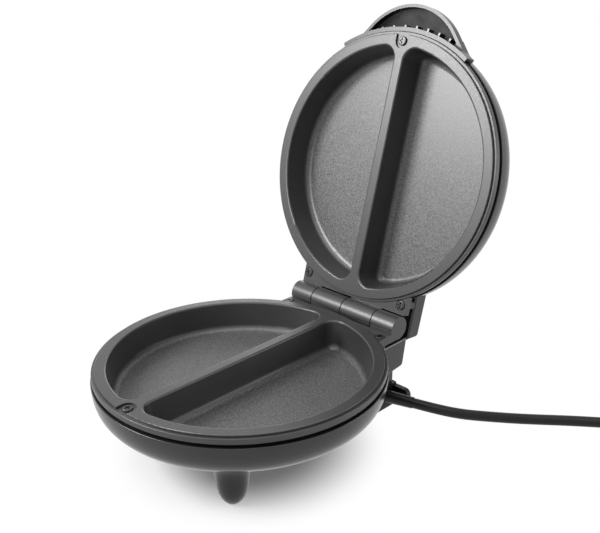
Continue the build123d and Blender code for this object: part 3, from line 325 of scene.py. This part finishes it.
def nonstick_coat_and_lit_floor(name, normal):
    """Dark non-stick coat, speckled, with the wells' floors painted paler as painted light against their shaded
    walls.
    """
    material, tree, shader = new_material(name)
    fine = noise(tree, size=0.0011, detail=5.0)
    coat = two_colours(tree, noise(tree, BLOTCH), grey(0.024), grey(0.029))
    lit_speckle = two_colours(tree, fine, grey(0.036), grey(0.125), SPECKLE_LOW, SPECKLE_HIGH)
    # Painted light: the wells' floors take the paler speckled grey, and the walls keep the dark coat as shade.
    floor = depth_mask(tree, normal, WELL_LIGHT_START, WELL_LIGHT_FULL)
    colour = mixed_colour(tree, floor, coat, lit_speckle)
    tree.links.new(colour, shader.inputs["Base Color"])
    tree.links.new(spread(tree, fine, low=0.33, high=0.42), shader.inputs["Roughness"])
    bump(tree, shader, fine, relief=1.4e-5)
    shader.inputs["IOR"].default_value = 1.6
    return material


def handle_finish_and_reflection(name):
    """Dark, slightly glossy plastic with a painted grey reflection on the floor of the finger hollow."""
    material, tree, shader = new_material(name)
    fine = noise(tree, size=0.001, detail=4.0)
    outside = two_colours(tree, noise(tree, BLOTCH), grey(0.007), grey(0.009))
    # Painted reflection: a paler grey on the hollow's floor where it faces out of the lid.
    hollow_reflection = two_colours(tree, noise(tree, size=0.012), grey(0.10), grey(0.16))
    deep = depth_mask(tree, LID_NORMAL, HOLLOW_REFLECTION_START, HOLLOW_REFLECTION_FULL)
    turned = with_vector(tree, "DOT_PRODUCT", coordinates(tree, "Normal"), LID_NORMAL, "Value")
    facing = spread(tree, turned, 0, 1, FACING_START, FACING_FULL)
    floor = combined(tree, "MULTIPLY", deep, facing)
    colour = mixed_colour(tree, floor, outside, hollow_reflection)
    tree.links.new(colour, shader.inputs["Base Color"])
    tree.links.new(spread(tree, fine, low=0.24, high=0.30), shader.inputs["Roughness"])
    bump(tree, shader, fine, POLISHED)
    shader.inputs["IOR"].default_value = 1.45
    return material


base_coat = nonstick_coat_and_lit_floor("base_coat", BASE_NORMAL)
lid_coat = nonstick_coat_and_lit_floor("lid_coat", LID_NORMAL)
handle_plastic = handle_finish_and_reflection("handle_plastic")
casing_plastic = finish_of(
    "casing_plastic", grey(0.012), grey(0.015), roughness=0.20, grain=0.0008, relief=SMOOTH)
leg_plastic = finish_of(
    "leg_plastic", grey(0.009), grey(0.012), roughness=0.30, grain=0.0008, relief=SMOOTH, ior=1.4)
foot_plastic = finish_of(
    "foot_plastic", grey(0.006), grey(0.009), roughness=0.45, grain=0.0005, relief=MATT, ior=1.3)
cord_sheath = finish_of(
    "cord_sheath", grey(0.005), grey(0.008), roughness=0.38, grain=0.0006, relief=MATT, ior=1.35)
dark_screw = finish_of(
    "dark_screw", grey(0.05), grey(0.07), roughness=0.35, grain=0.0004, relief=MATT, metallic=0.9)
steel = finish_of(
    "steel", grey(0.45), grey(0.55), roughness=0.3, grain=0.0006, relief=SMOOTH, metallic=1.0)
heater_metal = finish_of(
    "heater_metal", grey(0.25), grey(0.33), roughness=0.4, grain=0.0006, relief=MATT, metallic=1.0)
plug_metal = finish_of(
    "plug_metal", (0.62, 0.6, 0.55), (0.7, 0.68, 0.62),
    roughness=0.18, grain=0.0008, relief=POLISHED, metallic=1.0)
bakelite = finish_of(
    "bakelite", (0.07, 0.045, 0.03), (0.09, 0.06, 0.04), roughness=0.5, grain=0.0007, relief=MATT)
wire_sleeve = finish_of(
    "wire_sleeve", (0.6, 0.58, 0.5), (0.7, 0.68, 0.6), roughness=0.7, grain=0.0005, relief=COARSE)
pad_rubber = finish_of(
    "pad_rubber", grey(0.012), grey(0.018), roughness=0.8, grain=0.0004, relief=COARSE)
red_lens = finish_of(
    "red_lens", (0.45, 0.01, 0.01), (0.6, 0.02, 0.02), roughness=0.1, grain=0.001, relief=POLISHED)
green_lens = finish_of(
    "green_lens", (0.02, 0.3, 0.05), (0.03, 0.42, 0.08), roughness=0.1, grain=0.001, relief=POLISHED)
lamp_glass = finish_of(
    "lamp_glass", grey(0.6), grey(0.7), roughness=0.1, grain=0.001, relief=POLISHED)

# The CAD record's slots, each with the material that its pieces take here.
FINISHES = {
    "casing_plastic": casing_plastic,
    "nonstick_plate": base_coat,
    "dark_screws": dark_screw,
    "heater_tube": heater_metal,
    "sheet_steel": steel,
    "bakelite": bakelite,
    "wire_insulation": wire_sleeve,
    "leg_plastic": leg_plastic,
    "foot_plastic": foot_plastic,
    "pad_rubber": pad_rubber,
    "pin_steel": steel,
    "cord_sheath": cord_sheath,
    "cord_tie": foot_plastic,
    "plug_plastic": foot_plastic,
    "plug_pins": plug_metal,
    "handle_plastic": handle_plastic,
    "red_lens": red_lens,
    "green_lens": green_lens,
    "lamp_glass": lamp_glass,
}
for subpart in frame["record"]["subparts"]:
    mesh = nodes[subpart["node"]].data
    mesh.materials.clear()
    mesh.materials.append(FINISHES[subpart["material_slot"]])
nodes["lid_plate"].data.materials[0] = lid_coat
mains_cord.data.materials.append(cord_sheath)


# ---------------------------------------------------------------- floor and light

FLOOR_HALF = 6
FLOOR_GREY = 0.8
SHADOW_KEPT = 0.05          # share of plain white that the floor has under the object
SHADOW_FROM, SHADOW_TO = 0.045, 0.105       # distances over which it turns white
FILL_GREY = 0.35


def by_ray(tree, seen, mirrored, lit):
    """One shader for the camera, one for reflections and one for the light on the object."""
    path = tree.nodes.new("ShaderNodeLightPath").outputs
    shiny = combined(tree, "MAXIMUM", path["Is Glossy Ray"], path["Is Transmission Ray"])
    away = mixed_shader(tree, shiny, lit, mirrored)
    return mixed_shader(tree, path["Is Camera Ray"], away, seen)


def add_floor():
    """Pale floor that keeps the shadow under the object and is white further out."""
    half = FLOOR_HALF
    mesh = bpy.data.meshes.new("floor")
    corners = [(-half, -half, 0), (half, -half, 0), (half, half, 0), (-half, half, 0)]
    mesh.from_pydata(corners, [], [(0, 1, 2, 3)])
    floor = bpy.data.objects.new("floor", mesh)
    scene.collection.objects.link(floor)
    material = bpy.data.materials.new("floor")
    material.use_nodes = True
    tree = material.node_tree
    tree.nodes.clear()
    pale = tree.nodes.new("ShaderNodeBsdfDiffuse")
    pale.inputs["Color"].default_value = (FLOOR_GREY, FLOOR_GREY, FLOOR_GREY, 1)
    white = tree.nodes.new("ShaderNodeEmission")
    white.inputs["Strength"].default_value = 1
    away = with_vector(tree, "DISTANCE", coordinates(tree, "Object"), PLATE_CENTRE, "Value")
    far = spread(tree, away, SHADOW_KEPT, 1, SHADOW_FROM, SHADOW_TO, kind="SMOOTHSTEP")
    seen = mixed_shader(tree, far, pale.outputs[0], white.outputs[0])
    shown = by_ray(tree, seen, mirrored=white.outputs[0], lit=pale.outputs[0])
    output = tree.nodes.new("ShaderNodeOutputMaterial")
    tree.links.new(shown, output.inputs["Surface"])
    mesh.materials.append(material)


def set_world():
    """White background to the camera and in reflections, an even grey light elsewhere."""
    world = bpy.data.worlds.new("world")
    scene.world = world
    world.use_nodes = True
    tree = world.node_tree
    tree.nodes.clear()
    white = tree.nodes.new("ShaderNodeBackground")
    white.inputs["Color"].default_value = (1, 1, 1, 1)
    fill = tree.nodes.new("ShaderNodeBackground")
    fill.inputs["Color"].default_value = (FILL_GREY, FILL_GREY, FILL_GREY, 1)
    shown = by_ray(tree, white.outputs[0], mirrored=white.outputs[0], lit=fill.outputs[0])
    output = tree.nodes.new("ShaderNodeOutputWorld")
    tree.links.new(shown, output.inputs["Surface"])


def add_softbox(name, place, aim, width, height, power):
    """Rectangular area lamp that faces a point."""
    data = bpy.data.lights.new(name, "AREA")
    data.shape = "RECTANGLE"
    data.size = width
    data.size_y = height
    data.energy = power
    lamp = bpy.data.objects.new(name, data)
    scene.collection.objects.link(lamp)
    lamp.location = place
    lamp.rotation_mode = "QUATERNION"
    direction = Vector(aim) - Vector(place)
    lamp.rotation_quaternion = direction.to_track_quat("-Z", "Y")


add_floor()
set_world()
add_softbox(
    "key", place=(-0.46, -0.68, 0.66), aim=(0, 0.10, 0.27), width=0.45, height=0.40, power=12.5)
add_softbox(
    "overhead", place=(0, -0.2, 1.4), aim=(0, -0.05, 0.1), width=1.3, height=1.1, power=8)
add_softbox(
    "back_left", place=(-0.9, 0.9, 0.35), aim=(0, -0.1, 0.07), width=0.6, height=0.25, power=2)
add_softbox(
    "right_rim", place=(1.0, 0.9, 0.25), aim=(0, 0, 0.15), width=0.4, height=0.6, power=4.5)

scene.view_settings.view_transform = "Standard"
